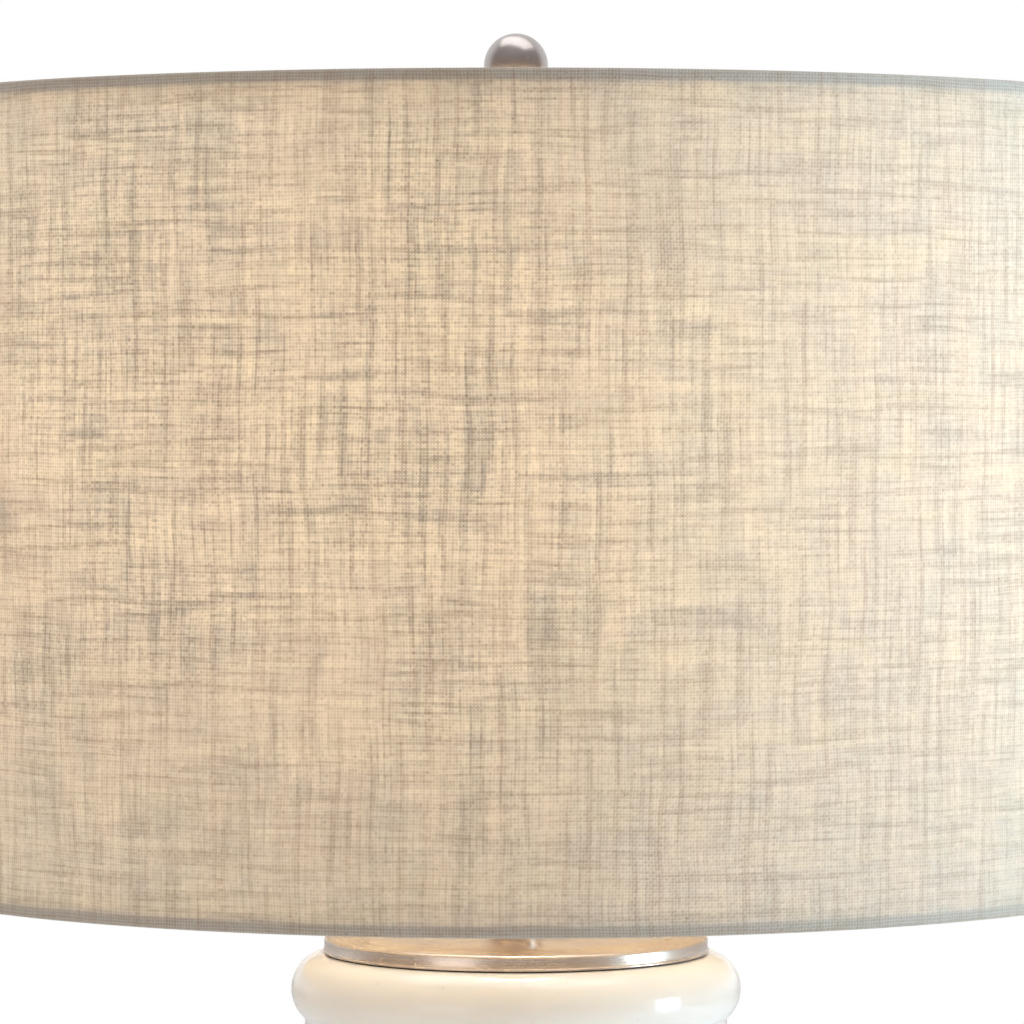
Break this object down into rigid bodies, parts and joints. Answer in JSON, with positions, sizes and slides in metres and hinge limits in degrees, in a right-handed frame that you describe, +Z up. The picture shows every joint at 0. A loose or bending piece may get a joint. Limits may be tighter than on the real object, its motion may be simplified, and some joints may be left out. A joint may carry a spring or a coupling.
{
  "type": "table lamp with shade",
  "caption": "Table lamp: glazed ceramic vase on a round metal foot, turn-knob lampholder, harp and a wide linen drum shade held by a ball finial.",
  "frame": {"origin": "centre of the foot's underside, on the table, under the lamp's axis", "axes": "+Z up along the lamp's axis, +Y towards the back where the cord leaves, -Y towards the switch knob, X along the harp"},
  "size_m": [0.5079, 0.508, 0.7615],
  "materials": {
    "felt": "matte",
    "satin_nickel": "satin",
    "zinc_steel": "satin",
    "bushing": "matte",
    "ceramic": "gloss",
    "brass": "satin",
    "paper_sleeve": "matte",
    "phenolic": "gloss",
    "bulb_aluminium": "satin",
    "frosted_glass": "matte",
    "clear_glass": "gloss",
    "tungsten": "satin",
    "liner": "matte",
    "linen": "matte"
  },
  "bodies": {
    "base": {"foot_felt": "felt", "foot_plate": "satin_nickel", "cord_grommet": "bushing", "foot_gasket": "bushing", "ceramic_body": "ceramic", "cap_gasket": "bushing", "vase_cap": "satin_nickel", "lamp_pipe": "zinc_steel", "pipe_nut": "zinc_steel", "lock_washer": "zinc_steel", "pipe_washer": "zinc_steel", "neck_tube": "satin_nickel", "check_ring": "satin_nickel", "harp_saddle": "satin_nickel", "socket_cap": "brass", "socket_set_screw": "zinc_steel", "socket_shell": "brass", "socket_liner": "paper_sleeve", "socket_core": "phenolic", "terminal_screws": "brass", "screw_shell": "bulb_aluminium", "center_contact": "brass", "harp_loop": "satin_nickel", "harp_stud": "satin_nickel"},
    "switch": {"switch_shaft": "brass", "switch_knob": "phenolic"},
    "bulb": {"bulb_tip": "bulb_aluminium", "bulb_insulator": "phenolic", "bulb_cap": "bulb_aluminium", "bulb_glass": "frosted_glass", "bulb_stem": "clear_glass", "bulb_filament": "tungsten"},
    "left_sleeve": {"sleeve_left": "satin_nickel"},
    "right_sleeve": {"sleeve_right": "satin_nickel"},
    "shade": {"spider_hub": "satin_nickel", "spider_arms": "satin_nickel", "top_ring": "satin_nickel", "bottom_ring": "satin_nickel", "shade_liner": "liner", "shade_linen": "linen"},
    "finial": {"finial_collar": "satin_nickel", "finial_ball": "satin_nickel"}
  },
  "joints": [
    {"name": "shade_turn", "type": "hinge", "parent": "base", "child": "shade", "pos_m": [0, 0, 0.7275], "axis": [0, 0, 1], "continuous": true},
    {"name": "finial_turn", "type": "hinge", "parent": "base", "child": "finial", "pos_m": [0, 0, 0.735], "axis": [0, 0, 1], "continuous": true},
    {"name": "bulb_turn", "type": "hinge", "parent": "base", "child": "bulb", "pos_m": [0, 0, 0.51], "axis": [0, 0, 1], "continuous": true},
    {"name": "switch_turn", "type": "hinge", "parent": "base", "child": "switch", "pos_m": [0, -0.02, 0.481], "axis": [0, -1, 0], "continuous": true},
    {"name": "sleeve_left_lift", "type": "slide", "parent": "base", "child": "left_sleeve", "axis": [0, 0, 1], "range_m": [0, 0.012]},
    {"name": "sleeve_right_lift", "type": "slide", "parent": "base", "child": "right_sleeve", "axis": [0, 0, 1], "range_m": [0, 0.012]}
  ]
}
